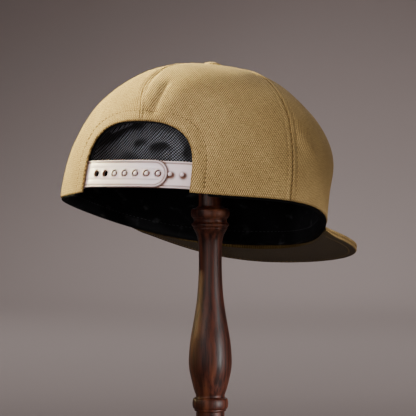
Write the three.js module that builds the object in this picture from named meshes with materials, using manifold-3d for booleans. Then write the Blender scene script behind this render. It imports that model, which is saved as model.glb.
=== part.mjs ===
// A flat-brimmed snapback cap of cotton twill on a plain turned hat stand.
// Millimetres, +Z up. The origin is the middle of the stand's underside, and the cap faces -Y.
import * as THREE from "three";
import { mergeVertices } from "three/addons/utils/BufferGeometryUtils.js";
import Module from "manifold-3d";

const wasm = await Module();
wasm.setup();

// Driving dimensions of the crown, measured from the middle of its rim
const CROWN = { halfWidth: 83.2, front: 100.5, back: 94.4, height: 93.5 };
const ROUNDNESS = { front: 2.9, side: 2.55, back: 2.35 };
const PLAN_POINT = 0.026;
const FRONT_BLEND = 0.25;
const TOP_SHIFT = { forward: 1.1, right: 1.8 };
const RIM_WAVE = [
  { lobes: 0, rise: 0.35 },
  { lobes: 1, rise: 0.35 },
  { lobes: 2, rise: -2.9 },
  { lobes: 3, rise: 0.6 },
  { lobes: 4, rise: 0.9 },
];

// Dents in the crown: angle from the front towards the wearer's right, height as a share
// of the crown's, and depth outwards in millimetres
const DENT_SPREAD = { angle: 30, share: 0.15 };
const DENTS = [
  { name: "back left shoulder", angle: 240, share: 0.84, depth: -2.3 },
  { name: "back left wall", angle: 240, share: 0.5, depth: -1 },
  { name: "back left hem", angle: 240, share: 0, depth: 0.7 },
  { name: "front right shoulder", angle: 60, share: 0.84, depth: -4.4 },
  { name: "front right wall", angle: 60, share: 0.45, depth: 1.1 },
  { name: "front right hem", angle: 60, share: 0.2, depth: -2.9 },
  { name: "front right rim", angle: 66, share: 0, depth: -3 },
];

// Layers of the crown, each from its outer to its inner face, in from the twill's face
const TWILL = { outer: 0, inner: 1.5 };
const LINING = { outer: 1.9, inner: 2.9 };
const BAND = { outer: 3.3, inner: 4.8 };
const GAP = 0.3;

// Seams of the five panels, in degrees from the front towards the wearer's right
const FRONT_SEAM = 50;
const SIDE_SEAM = 109.6;
const BACK_SEAM = { low: 179.3, high: 188, drift: [0.42, 0.86] };

// Steps up the crown, in degrees of its profile from the rim to the button
const RISE_STEPS = [0, 7, 15, 24, 33, 43, 53, 63, 72, 80, 89.2];
const BAND_RISE_STEPS = [0.5, 7, 15];
const BINDING_RISE_STEPS = RISE_STEPS.slice(1, 8);
const COLUMNS = { front: 12, side: 7, back: 9 };

// Opening at the back, above the strap
const ARCH = { halfWidth: 36.3, top: 41, spring: 8, squareness: 2.85 };
const ARCH_BINDING_WIDTH = 9;
const ARCH_SIDES = 22;
const ARCH_BLOCK = { bottom: -30, back: 125, depth: 90 };

// Snap strap: it runs along a flat arc behind the wearer's head
const STRAP = { middle: 8.2, width: 16.6, thickness: 1.4, layer: 1.7, lean: 0.1 };
const STRAP_ARC = { radius: 78.8, back: 91, tuckFrom: 30, tuck: 0.018 };
const STRAP_END_RISE = { left: 0.00098, right: 0.0004 };
const STRAP_REACH = { tucked: 45.5, free: 22.4, hidden: -18 };
const STRAP_POCKET = { halfWidth: 45.3, top: 19.4, depth: 90, height: 80 };
const STRAP_STEPS = 15;
const STRAP_ROUNDING = 0.98;
const STRAP_LEVELS = [-1, -0.8, 0, 0.8, 1];
const SNAP = {
  holes: 7,
  open: 2,
  first: -26.4,
  pitch: 7.23,
  holeRadius: 1.9,
  pegRadius: 1.4,
  pegHeight: 2.3,
};
const PEG_ROOT = 0.5;
const HOLE_MARGIN = 2;
const PIN_SIDES = 12;

// Brim
const BRIM = {
  halfWidth: 70,
  start: 33,
  reach: 124.5,
  sideSquareness: 2.3,
  frontSquareness: 3.2,
  thickness: 4.3,
  drift: 2.5,
};
const BRIM_TOP = { start: 0.6, fallPerMm: 0.004, arch: 1.9, twist: 3.5, level: 0.3 };
const BRIM_SIDE_ANGLE = 62;
const BRIM_GRID = { columns: 26, rows: 5, trimmed: 1.4 };
const BUTTON = { radius: 7.6, height: 4.8, sides: 20 };

// The stand, and how the cap sits on it
const RIM_HEIGHT = 245;
const NOSE_DOWN = THREE.MathUtils.degToRad(11.35);
const SEAT_FORWARD = 1.9;
const HEAD = {
  bottom: 302,
  bottomRadius: 9.6,
  shoulder: 312,
  top: 330.9,
  radius: 34,
  domeRadius: 62,
  domeShare: 0.98,
  domeSteps: 5,
};
const BASE = { radius: 78, thickness: 20, edge: 7, rounding: 0.3 };
const STEM_RADIUS = 7.6;
const POST_PROFILE = [
  { z: BASE.thickness + GAP, r: 15.5 },
  { z: 40, r: 13 },
  { z: 80, r: 10 },
  { z: 108, r: 8.9 },
  { z: 119, r: 9.1 },
  { z: 121.7, r: 11.2 },
  { z: 127.4, r: 11.3 },
  { z: 129.9, r: 9.2 },
  { z: 139.5, r: 12 },
  { z: 145.9, r: 13.4 },
  { z: 154.1, r: 13.7 },
  { z: 165, r: 12.7 },
  { z: 177.7, r: 10.5 },
  { z: 190.5, r: 8.6 },
  { z: 203.2, r: 7.6 },
  { z: 215.9, r: 7.3 },
  { z: 228.7, r: 7.6 },
  { z: 233.5, r: 9 },
  { z: 238, r: 11.8 },
  { z: 239.7, r: 10.8 },
  { z: 242.5, r: 10.8 },
  { z: 244, r: 12.3 },
  { z: 248.4, r: 12.3 },
  { z: 249.8, r: STEM_RADIUS },
  { z: HEAD.bottom - GAP, r: STEM_RADIUS },
];
const TURNED_SIDES = 24;

const materials = {
  twill: new THREE.MeshStandardMaterial({ color: 0xa68b60, roughness: 0.9, metalness: 0 }),
  black: new THREE.MeshStandardMaterial({ color: 0x1d1b1b, roughness: 0.85, metalness: 0 }),
  strap: new THREE.MeshStandardMaterial({ color: 0xd9c6bd, roughness: 0.45, metalness: 0 }),
  wood: new THREE.MeshStandardMaterial({ color: 0x3a2420, roughness: 0.35, metalness: 0 }),
};

const { degToRad: radians, radToDeg: degrees, lerp: mix, smoothstep, euclideanModulo } = THREE.MathUtils;
const bell = (x) => Math.exp(-x * x);

// Front, side and back values of a number, blended round the crown
function aroundCrown(table, angle) {
  const forward = Math.max(Math.cos(angle), 0) ** 2;
  const backward = Math.max(-Math.cos(angle), 0) ** 2;
  return table.side + (table.front - table.side) * forward + (table.back - table.side) * backward;
}

function rimHeight(angle) {
  return RIM_WAVE.reduce((sum, wave) => sum + wave.rise * Math.cos(wave.lobes * angle), 0);
}

function dentDepth(angle, share) {
  let depth = 0;
  for (const dent of DENTS) {
    const turn = euclideanModulo(degrees(angle) - dent.angle + 180, 360) - 180;
    const across = bell(turn / DENT_SPREAD.angle);
    const up = bell((share - dent.share) / DENT_SPREAD.share);
    depth += dent.depth * across * up;
  }
  return depth;
}

// A point of the crown: angle round it and rise up its profile in radians, inset in millimetres
function crownPoint(angle, rise, inset) {
  const power = 2 / aroundCrown(ROUNDNESS, angle);
  const out = Math.cos(rise) ** power;
  const share = Math.sin(rise) ** power;
  const plan = 1 + PLAN_POINT * Math.cos(4 * angle);
  const forward = 0.5 + 0.5 * Math.tanh(Math.cos(angle) / FRONT_BLEND);
  const length = mix(CROWN.back, CROWN.front, forward) - inset;
  const right = (CROWN.halfWidth - inset) * out * plan * Math.sin(angle) + TOP_SHIFT.right * share ** 2;
  const ahead = length * out * plan * Math.cos(angle) + TOP_SHIFT.forward * share ** 2;
  const up = (CROWN.height - inset) * share + rimHeight(angle) * (1 - share);
  const outward = new THREE.Vector3(
    right / CROWN.halfWidth ** 2,
    ahead / CROWN.front ** 2,
    Math.max(up, 0) / CROWN.height ** 2,
  ).normalize();
  const point = new THREE.Vector3(right, ahead, up).addScaledVector(outward, dentDepth(angle, share));
  return new THREE.Vector3(-point.x, -point.y, point.z);
}

// Closed solid between two grids of points, each grid a list of rows
function slab(outer, inner, closedRound = false) {
  const rows = outer.length;
  const columns = outer[0].length;
  const positions = [];
  for (const grid of [outer, inner]) {
    for (const row of grid) {
      for (const point of row) positions.push(point.x, point.y, point.z);
    }
  }
  const index = [];
  const at = (side, row, column) => (side * rows + row) * columns + (column % columns);
  const quad = (a, b, c, d) => index.push(a, b, c, a, c, d);
  const lastColumn = closedRound ? columns : columns - 1;
  for (let i = 0; i < rows - 1; i++) {
    for (let j = 0; j < lastColumn; j++) {
      quad(at(0, i, j), at(0, i, j + 1), at(0, i + 1, j + 1), at(0, i + 1, j));
      quad(at(1, i, j), at(1, i + 1, j), at(1, i + 1, j + 1), at(1, i, j + 1));
    }
  }
  for (let j = 0; j < lastColumn; j++) {
    quad(at(0, 0, j), at(1, 0, j), at(1, 0, j + 1), at(0, 0, j + 1));
    quad(at(0, rows - 1, j), at(0, rows - 1, j + 1), at(1, rows - 1, j + 1), at(1, rows - 1, j));
  }
  if (!closedRound) {
    const last = columns - 1;
    for (let i = 0; i < rows - 1; i++) {
      quad(at(0, i, 0), at(0, i + 1, 0), at(1, i + 1, 0), at(1, i, 0));
      quad(at(0, i, last), at(1, i, last), at(1, i + 1, last), at(0, i + 1, last));
    }
  }
  const geometry = new THREE.BufferGeometry();
  geometry.setAttribute("position", new THREE.Float32BufferAttribute(positions, 3));
  geometry.setIndex(index);
  return geometry;
}

function toSolid(geometry) {
  const bare = geometry.clone();
  bare.deleteAttribute("normal");
  bare.deleteAttribute("uv");
  const merged = mergeVertices(bare, 1e-4);
  const vertProperties = new Float32Array(merged.attributes.position.array);
  const triVerts = new Uint32Array(merged.index.array);
  return new wasm.Manifold(new wasm.Mesh({ numProp: 3, vertProperties, triVerts }));
}

function toGeometry(solid) {
  const mesh = solid.getMesh();
  const geometry = new THREE.BufferGeometry();
  geometry.setAttribute("position", new THREE.Float32BufferAttribute(mesh.vertProperties, 3));
  geometry.setIndex(new THREE.Uint32BufferAttribute(mesh.triVerts, 1));
  return geometry;
}

function namedMesh(name, geometry, material) {
  geometry.computeVertexNormals();
  const mesh = new THREE.Mesh(geometry, material);
  mesh.name = name;
  return mesh;
}

// Angle of the back seam at a rise: it starts beside the middle and drifts across it
function backSeamAngle(rise) {
  const share = Math.sin(rise) ** (2 / ROUNDNESS.back);
  return mix(BACK_SEAM.low, BACK_SEAM.high, smoothstep(share, ...BACK_SEAM.drift));
}

// A wedge of the crown between two seams, each a function from rise to degrees
function crownWedge(layer, fromSeam, toSeam, columns, riseSteps) {
  const grid = (inset) => riseSteps.map((step) => {
    const rise = radians(step);
    const ends = [radians(fromSeam(rise)), radians(toSeam(rise))];
    const edge = crownPoint(ends[0], rise, inset);
    const trim = GAP / 2 / Math.hypot(edge.x, edge.y);
    return Array.from({ length: columns + 1 }, (_, j) =>
      crownPoint(mix(ends[1] - trim, ends[0] + trim, j / columns), rise, inset));
  });
  return slab(grid(layer.outer), grid(layer.inner));
}

// Block behind the cap with the arch's outline, grown by a margin
function archBlock(margin) {
  const shape = new THREE.Shape();
  const right = ARCH.halfWidth + margin;
  const top = ARCH.top + margin;
  shape.moveTo(right, ARCH_BLOCK.bottom);
  for (let i = 0; i <= ARCH_SIDES; i++) {
    const turn = Math.PI * i / ARCH_SIDES;
    const across = Math.sign(Math.cos(turn)) * Math.abs(Math.cos(turn)) ** (2 / ARCH.squareness);
    const up = Math.sin(turn) ** (2 / ARCH.squareness);
    shape.lineTo(right * across, ARCH.spring + (top - ARCH.spring) * up);
  }
  shape.lineTo(-right, ARCH_BLOCK.bottom);
  const geometry = new THREE.ExtrudeGeometry(shape, { depth: ARCH_BLOCK.depth, bevelEnabled: false });
  geometry.rotateX(Math.PI / 2);
  geometry.translate(0, ARCH_BLOCK.back, 0);
  return geometry;
}

function crownPanels() {
  const at = (angle) => () => angle;
  const wedge = (from, to, columns) => crownWedge(TWILL, from, to, columns, RISE_STEPS);
  const arch = toSolid(archBlock(0));
  const backRight = toSolid(wedge(at(SIDE_SEAM), backSeamAngle, COLUMNS.back)).subtract(arch);
  const backLeft = toSolid(wedge(backSeamAngle, at(360 - SIDE_SEAM), COLUMNS.back)).subtract(arch);
  const panels = {
    crown_front: wedge(at(-FRONT_SEAM), at(FRONT_SEAM), COLUMNS.front),
    crown_side_right: wedge(at(FRONT_SEAM), at(SIDE_SEAM), COLUMNS.side),
    crown_side_left: wedge(at(-SIDE_SEAM), at(-FRONT_SEAM), COLUMNS.side),
    crown_back_right: toGeometry(backRight),
    crown_back_left: toGeometry(backLeft),
  };
  return Object.entries(panels).map(([name, geometry]) => namedMesh(name, geometry, materials.twill));
}

// The angles where the panels' facets meet, so that the layers inside nest without touching
function panelAngles() {
  const spans = [
    [-FRONT_SEAM, FRONT_SEAM, COLUMNS.front],
    [FRONT_SEAM, SIDE_SEAM, COLUMNS.side],
    [SIDE_SEAM, 180, COLUMNS.back],
    [180, 360 - SIDE_SEAM, COLUMNS.back],
    [360 - SIDE_SEAM, 360 - FRONT_SEAM, COLUMNS.side],
  ];
  return spans.flatMap(([from, to, count]) =>
    Array.from({ length: count }, (_, j) => mix(from, to, j / count)));
}

function crownShell(layer, riseSteps) {
  const grid = (inset) => riseSteps.map((step) =>
    panelAngles().reverse().map((degrees) => crownPoint(radians(degrees), radians(step), inset)));
  return slab(grid(layer.outer), grid(layer.inner), true);
}

// Block where the strap's ends lie between the twill and the band
function strapPocket() {
  const { halfWidth, top, depth, height } = STRAP_POCKET;
  const geometry = new THREE.BoxGeometry(2 * halfWidth, depth, height);
  geometry.translate(0, ARCH_BLOCK.back - depth / 2, top - height / 2);
  return toSolid(geometry);
}

function innerLayers() {
  const opening = toSolid(archBlock(GAP)).add(strapPocket());
  const lining = toSolid(crownShell(LINING, RISE_STEPS)).subtract(opening);
  const bandCut = toSolid(archBlock(ARCH_BINDING_WIDTH + GAP));
  const band = toSolid(crownShell(BAND, BAND_RISE_STEPS)).subtract(bandCut);
  const bindingReach = toSolid(archBlock(ARCH_BINDING_WIDTH)).subtract(opening);
  const binding = toSolid(crownShell(BAND, BINDING_RISE_STEPS)).intersect(bindingReach);
  return [
    namedMesh("crown_lining", toGeometry(lining), materials.black),
    namedMesh("sweatband", toGeometry(band), materials.black),
    namedMesh("arch_binding", toGeometry(binding), materials.black),
  ];
}

// A point of the strap: how far along it from the middle towards the wearer's right, how far
// above its middle line, and how deep under its outer face
function strapPoint(along, up, depth) {
  const turn = along / STRAP_ARC.radius;
  const tucked = STRAP_ARC.tuck * Math.max(Math.abs(along) - STRAP_ARC.tuckFrom, 0) ** 2;
  const radius = STRAP_ARC.radius - depth - tucked - STRAP.lean * up;
  const centre = STRAP_ARC.back - STRAP_ARC.radius;
  const endRise = (along < 0 ? STRAP_END_RISE.left : STRAP_END_RISE.right) * along ** 2;
  return new THREE.Vector3(
    -radius * Math.sin(turn),
    centre + radius * Math.cos(turn),
    STRAP.middle + endRise + up,
  );
}

// A strap between two places along it, with its far end rounded or square
function strapSolid(from, to, depth, roundedEnd) {
  const half = STRAP.width / 2;
  const rows = (under) => STRAP_LEVELS.map((level) => {
    const short = roundedEnd ? half * (1 - Math.sqrt(1 - (STRAP_ROUNDING * level) ** 2)) : 0;
    return Array.from({ length: STRAP_STEPS + 1 }, (_, j) =>
      strapPoint(mix(from, to - short, j / STRAP_STEPS), half * level, under));
  });
  return toSolid(slab(rows(depth), rows(depth + STRAP.thickness)));
}

// A round pin across the strap, from a depth outwards
function snapPin(along, radius, depth, length) {
  const geometry = new THREE.CylinderGeometry(radius, radius, length, PIN_SIDES);
  geometry.translate(0, length / 2, 0);
  geometry.rotateZ(along / STRAP_ARC.radius);
  const foot = strapPoint(along, 0, depth);
  geometry.translate(foot.x, foot.y, foot.z);
  return toSolid(geometry);
}

function snapPlace(i) {
  return SNAP.first + i * SNAP.pitch;
}

function snapStraps() {
  let holes = strapSolid(-STRAP_REACH.tucked, STRAP_REACH.free, 0, true);
  let pegs = strapSolid(STRAP_REACH.hidden, STRAP_REACH.tucked, STRAP.layer, false);
  const { holeRadius, pegRadius, pegHeight } = SNAP;
  for (let i = 0; i < SNAP.holes; i++) {
    const hole = snapPin(snapPlace(i), holeRadius, STRAP.thickness + HOLE_MARGIN, 3 * HOLE_MARGIN);
    const peg = snapPin(snapPlace(i + SNAP.open), pegRadius, STRAP.layer + PEG_ROOT, pegHeight + PEG_ROOT);
    holes = holes.subtract(hole);
    pegs = pegs.add(peg);
  }
  return [
    namedMesh("strap_holes", toGeometry(holes), materials.strap),
    namedMesh("strap_pegs", toGeometry(pegs), materials.strap),
  ];
}

// How far along the brim's reach a place is
const brimShare = (ahead) => (ahead - BRIM.start) / BRIM.reach;

// The brim lies between the crown's rim and its own rounded outline, a little warped
function brim() {
  const { columns, rows, trimmed } = BRIM_GRID;
  const side = radians(BRIM_SIDE_ANGLE);
  const edge = (j) => {
    const turn = mix(-1, 1, j / columns) * Math.PI / 2;
    const across = Math.sign(turn) * Math.abs(Math.sin(turn)) ** (2 / BRIM.sideSquareness);
    const ahead = BRIM.start + BRIM.reach * Math.cos(turn) ** (2 / BRIM.frontSquareness);
    return { right: BRIM.halfWidth * across + BRIM.drift * brimShare(ahead), ahead };
  };
  const top = (right, ahead) => {
    const aside = right / BRIM.halfWidth;
    const warp = BRIM_TOP.arch * aside ** 2
      + BRIM_TOP.twist * aside * (brimShare(ahead) ** 2 - BRIM_TOP.level);
    return BRIM_TOP.start - BRIM_TOP.fallPerMm * (ahead - BRIM.start) + warp;
  };
  const grid = (drop) => Array.from({ length: rows + 1 }, (_, i) =>
    Array.from({ length: columns + 1 }, (_, j) => {
      const foot = crownPoint(mix(-side, side, j / columns), 0, -GAP);
      const outer = edge(mix(trimmed, columns - trimmed, j / columns));
      const right = mix(-foot.x, outer.right, i / rows);
      const ahead = mix(-foot.y, outer.ahead, i / rows);
      return new THREE.Vector3(-right, -ahead, top(right, ahead) - drop);
    }));
  return namedMesh("brim", slab(grid(0), grid(BRIM.thickness)), materials.twill);
}

function button() {
  const shares = [[0, 0], [1, 0], [0.98, 0.35], [0.7, 0.8], [0, 1]];
  const profile = shares.map(([out, up]) =>
    new THREE.Vector2(BUTTON.radius * out, CROWN.height + GAP + BUTTON.height * up));
  const geometry = new THREE.LatheGeometry(profile, BUTTON.sides);
  geometry.rotateX(Math.PI / 2);
  geometry.translate(-TOP_SHIFT.right, -TOP_SHIFT.forward, 0);
  return namedMesh("button", geometry, materials.twill);
}

function turned(name, profile) {
  const outline = profile.map(({ r, z }) => new THREE.Vector2(r, z));
  const geometry = new THREE.LatheGeometry(outline, TURNED_SIDES);
  geometry.rotateX(Math.PI / 2);
  return namedMesh(name, geometry, materials.wood);
}

function stand() {
  const first = POST_PROFILE[0];
  const last = POST_PROFILE[POST_PROFILE.length - 1];
  const post = [{ z: first.z, r: 0 }, ...POST_PROFILE, { z: last.z, r: 0 }];
  const base = [
    { z: 0, r: 0 },
    { z: 0, r: BASE.radius },
    { z: BASE.thickness - BASE.edge, r: BASE.radius },
    { z: BASE.thickness - BASE.edge * BASE.rounding, r: BASE.radius - BASE.edge * BASE.rounding },
    { z: BASE.thickness, r: BASE.radius - BASE.edge },
    { z: BASE.thickness, r: 0 },
  ];
  const head = [
    { z: HEAD.bottom, r: 0 },
    { z: HEAD.bottom, r: HEAD.bottomRadius },
    { z: HEAD.shoulder, r: HEAD.radius },
  ];
  for (let i = 0; i <= HEAD.domeSteps; i++) {
    const r = HEAD.radius * HEAD.domeShare * (1 - i / HEAD.domeSteps);
    head.push({ z: HEAD.top - HEAD.domeRadius + Math.sqrt(HEAD.domeRadius ** 2 - r ** 2), r });
  }
  return [turned("stand_base", base), turned("stand_post", post), turned("stand_head", head)];
}

const cap = new THREE.Group();
cap.add(...crownPanels(), ...innerLayers(), ...snapStraps(), brim(), button());
cap.rotation.x = NOSE_DOWN;
const seat = new THREE.Vector3(0, -SEAT_FORWARD, CROWN.height).applyEuler(cap.rotation);
cap.position.set(0, -seat.y, RIM_HEIGHT);

const model = new THREE.Group();
model.add(cap, ...stand());

export default model;
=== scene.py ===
"""A flat-brimmed snapback cap of cotton twill on a turned hat stand.

Shapes are worked out in millimetres in the cap's own frame: the middle of the rim is the
origin, the wearer's front is -Y and the wearer's right is -X. They are written in metres in
the frame's coordinates, where the cap leans nose down on the stand.
"""
import math
from types import SimpleNamespace as Sizes

import bpy
import numpy as np
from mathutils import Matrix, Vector
from mathutils.geometry import delaunay_2d_cdt


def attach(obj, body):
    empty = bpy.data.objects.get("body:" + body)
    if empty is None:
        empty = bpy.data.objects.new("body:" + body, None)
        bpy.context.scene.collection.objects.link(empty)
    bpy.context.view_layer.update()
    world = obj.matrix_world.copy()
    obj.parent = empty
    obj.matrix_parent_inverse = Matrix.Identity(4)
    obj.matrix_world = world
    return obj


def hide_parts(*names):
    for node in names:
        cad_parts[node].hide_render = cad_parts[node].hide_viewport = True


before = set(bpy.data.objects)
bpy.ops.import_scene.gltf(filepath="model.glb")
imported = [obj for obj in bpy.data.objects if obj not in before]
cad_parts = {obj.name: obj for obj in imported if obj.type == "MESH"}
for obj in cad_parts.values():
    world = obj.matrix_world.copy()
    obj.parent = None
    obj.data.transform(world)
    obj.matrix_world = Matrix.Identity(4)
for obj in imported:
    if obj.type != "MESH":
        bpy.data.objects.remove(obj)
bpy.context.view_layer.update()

MM = 0.001
RAD = math.pi / 180
FULL = 2 * math.pi
TO_CAP = np.array([-1.0, -1.0, 1.0])  # from right, ahead and up to the cap's X, Y and Z

# ---------------------------------------------------------------- driving sizes, as in the frame
CROWN = Sizes(half=83.2, front=100.5, back=94.4, height=93.5)
ROUNDNESS = Sizes(front=2.9, side=2.55, back=2.35)
PLAN_POINT = 0.026
FRONT_BLEND = 0.25
TOP_SHIFT = Sizes(forward=1.1, right=1.8)
RIM_WAVE = ((0, 0.35), (1, 0.35), (2, -2.9), (3, 0.6), (4, 0.9))
DENT_ANGLE, DENT_SHARE = 30, 0.15
DENTS = (
    (240, 0.84, -2.3), (240, 0.5, -1.0), (240, 0.0, 0.7),
    (60, 0.84, -4.4), (60, 0.45, 1.1), (60, 0.2, -2.9), (66, 0.0, -3.0),
)
TWILL_THICK = 1.5
LINING = (1.9, 2.9)
BAND = (3.3, 4.8)
FRONT_SEAM, SIDE_SEAM = 50, 109.6
BACK_SEAM = Sizes(low=179.3, high=188, drift=(0.42, 0.86))
LOWEST_RISE, RIM_RISE, TOP_RISE = 1e-5, 1e-4, 89.2 * RAD
ARCH = Sizes(half=36.3, top=41.0, spring=8.0, squareness=2.85)
STRAP = Sizes(middle=8.2, width=16.6, thick=1.4, layer=1.7, lean=0.1)
STRAP_ARC = Sizes(
    radius=78.8, back=91.0, tuck_from=30.0, tuck=0.018, left_rise=0.00098, right_rise=0.0004)
STRAP_REACH = Sizes(tucked=45.5, free=22.4, hidden=-18.0)
SNAP = Sizes(holes=7, open=2, first=-26.4, pitch=7.23, hole=1.9)
BRIM = Sizes(half=70.0, start=33.0, reach=124.5, side=2.3, front=3.2, thick=4.3, drift=2.5)
BRIM_TOP = Sizes(start=0.6, fall=0.004, arch=1.9, twist=3.5, level=0.3)
BRIM_SIDE, BRIM_TRIM = 62, 80
BUTTON_FOOT = 93.8
RIM_HEIGHT = 245.0
NOSE_DOWN = 11.35 * RAD
SEAT_FORWARD = 1.9
STEP = 1e-4  # radians, for slopes of the crown
NEWTON_STEPS, GUESS_RADIUS = 14, 88


# ---------------------------------------------------------------- small helpers
def mix(a, b, t):
    return a + (b - a) * t


def smooth(low, high, x):
    t = np.clip((x - low) / (high - low), 0, 1)
    return t * t * (3 - 2 * t)


def bell(x):
    return np.exp(-np.square(x))


def wrapped(angle):
    return (angle + math.pi) % FULL - math.pi


def turns(count):
    return np.linspace(0, FULL, count + 1)[:-1]


def unit(v):
    return v / np.maximum(np.linalg.norm(v, axis=-1, keepdims=True), 1e-12)


def signed_power(x, power):
    return np.sign(x) * np.abs(x) ** power


def join(*parts):
    return np.concatenate(parts)


def stack(*parts):
    return np.stack(np.broadcast_arrays(*parts), -1)


def both(outer, inner):
    """The rows of two grids of points, one after the other."""
    return join(*(np.reshape(part, (-1, np.shape(part)[-1])) for part in (outer, inner)))


def running_length(points):
    return join([0], np.cumsum(np.linalg.norm(np.diff(points, axis=0), axis=-1)))


def read_at(at, length, curve):
    """A curve's points at some of its running lengths."""
    return stack(*(np.interp(at, length, column) for column in curve.T))


def resample(curve, share):
    length = running_length(curve)
    return read_at(share * length[-1], length, curve)


def cap_to_frame(points):
    """Cap millimetres to frame metres: the cap leans nose down on top of the stand."""
    c, s = math.cos(NOSE_DOWN), math.sin(NOSE_DOWN)
    seat = SEAT_FORWARD * c + CROWN.height * s
    x, y, z = points.T
    return stack(x, y * c - z * s + seat, y * s + z * c + RIM_HEIGHT) * MM


# ---------------------------------------------------------------- the crown's surface
def around_crown(angle):
    forward = np.maximum(np.cos(angle), 0) ** 2
    backward = np.maximum(-np.cos(angle), 0) ** 2
    side = ROUNDNESS.side
    return side + (ROUNDNESS.front - side) * forward + (ROUNDNESS.back - side) * backward


def share_of(angle, rise):
    return np.sin(rise) ** (2 / around_crown(angle))


def crown_point(angle, rise, inset=0.0):
    """A point of the crown as the frame has it: angle from the front towards the wearer's right."""
    power = 2 / around_crown(angle)
    rise = np.maximum(rise, LOWEST_RISE)
    out, share = np.cos(rise) ** power, np.sin(rise) ** power
    plan = 1 + PLAN_POINT * np.cos(4 * angle)
    forward = 0.5 + 0.5 * np.tanh(np.cos(angle) / FRONT_BLEND)
    length = mix(CROWN.back, CROWN.front, forward) - inset
    right = (CROWN.half - inset) * out * plan * np.sin(angle) + TOP_SHIFT.right * share ** 2
    ahead = length * out * plan * np.cos(angle) + TOP_SHIFT.forward * share ** 2
    rim = sum(depth * np.cos(lobes * angle) for lobes, depth in RIM_WAVE)
    up = (CROWN.height - inset) * share + rim * (1 - share)
    outward = unit(stack(
        right / CROWN.half ** 2, ahead / CROWN.front ** 2, np.maximum(up, 0) / CROWN.height ** 2))
    dent = 0
    for place, high, depth in DENTS:
        turn = wrapped(angle - place * RAD) / RAD
        dent = dent + depth * bell(turn / DENT_ANGLE) * bell((share - high) / DENT_SHARE)
    return (stack(right, ahead, up) + outward * dent[..., None]) * TO_CAP


def crown_patch(angle, rise, inset=0.0):
    """Points, outward directions and millimetres per radian round the crown."""
    point = crown_point(angle, rise, inset)
    round_by = crown_point(angle + STEP, rise, inset) - crown_point(angle - STEP, rise, inset)
    up_by = crown_point(angle, rise + STEP, inset) - crown_point(angle, rise - STEP, inset)
    ring = np.linalg.norm(round_by, axis=-1) / (2 * STEP)
    return point, unit(np.cross(up_by, round_by)), ring


def back_seam(rise):
    share = np.sin(rise) ** (2 / ROUNDNESS.back)
    return mix(BACK_SEAM.low, BACK_SEAM.high, smooth(*BACK_SEAM.drift, share)) * RAD


def fixed_seam(degrees):
    return lambda rise: np.full(np.shape(rise), degrees * RAD)


SEAMS = {
    "front_left": fixed_seam(-FRONT_SEAM),
    "front_right": fixed_seam(FRONT_SEAM),
    "side_right": fixed_seam(SIDE_SEAM),
    "back": back_seam,
    "side_left": fixed_seam(360 - SIDE_SEAM),
    "front_left_round": fixed_seam(360 - FRONT_SEAM),
}
RISES = np.linspace(0, TOP_RISE, 400)
SEAM_LENGTH = {name: running_length(crown_point(seam(RISES), RISES)) for name, seam in SEAMS.items()}


def locate(x, z):
    """Angle and rise of the points at x and z on the back of the crown, by Newton's steps."""
    angle = math.pi + np.arcsin(np.clip(x / GUESS_RADIUS, -0.99, 0.99))
    rise = np.arcsin(np.clip(z / CROWN.height, 0.001, 0.98)) ** 1.15
    for _ in range(NEWTON_STEPS):
        here = crown_point(angle, rise)
        by_angle = (crown_point(angle + STEP, rise) - here) / STEP
        by_rise = (crown_point(angle, rise + STEP) - here) / STEP
        dx, dz = x - here[..., 0], z - here[..., 2]
        det = by_angle[..., 0] * by_rise[..., 2] - by_rise[..., 0] * by_angle[..., 2]
        angle = angle + np.clip((dx * by_rise[..., 2] - dz * by_rise[..., 0]) / det, -0.2, 0.2)
        rise = rise + (dz * by_angle[..., 0] - dx * by_angle[..., 2]) / det
        rise = np.clip(rise, LOWEST_RISE, 1.5)
    return angle, rise


# ---------------------------------------------------------------- the opening at the back
def arch_side_angle(half):
    """Angle of the rim where it meets the arch's side, on the wearer's left."""
    angles = np.linspace(math.pi, math.pi + 1.0, 400)
    return np.interp(half, crown_point(angles, RIM_RISE)[:, 0], angles)


def arch_outline(margin=0.0, steps=240, low=None):
    """x and z of the arch from the wearer's right foot over the top to the left foot."""
    turn = np.linspace(math.pi, 0, steps)
    power = 2 / ARCH.squareness
    half = ARCH.half + margin
    foot = crown_point(arch_side_angle(half), RIM_RISE)[2] if low is None else low
    leg = np.linspace(foot, ARCH.spring, 14)[:-1]
    side = np.full(leg.size, half)
    x = join(-side, signed_power(np.cos(turn), power) * half, side)
    over = ARCH.spring + (ARCH.top + margin - ARCH.spring) * np.sin(turn) ** power
    line = stack(x, join(leg, over, leg[::-1]))
    return resample(line, np.linspace(0, 1, steps)).T


ARCH_LINE = arch_outline().T
ARCH_ALONG = running_length(ARCH_LINE)
NEAR_ARCH = Sizes(behind=20, half=62, top=66)
FAR = 99.0


def arch_distance(points):
    """Distance from the arch's edge in the plane behind the cap, and how far along it that is."""
    flat = points.reshape(-1, 3)
    far, along = np.full(len(flat), FAR), np.zeros(len(flat))
    x, y, z = flat.T
    near = (y > NEAR_ARCH.behind) & (np.abs(x) < NEAR_ARCH.half) & (z < NEAR_ARCH.top)
    gap = np.hypot(*(flat[near][:, None, ::2] - ARCH_LINE).transpose(2, 0, 1))
    far[near], along[near] = gap.min(1), ARCH_ALONG[gap.argmin(1)]
    return far.reshape(points.shape[:-1]), along.reshape(points.shape[:-1])


# ---------------------------------------------------------------- relief of the sewn cloth
STITCH = Sizes(pitch=3.0, length=2.1, radius=0.22)
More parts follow.
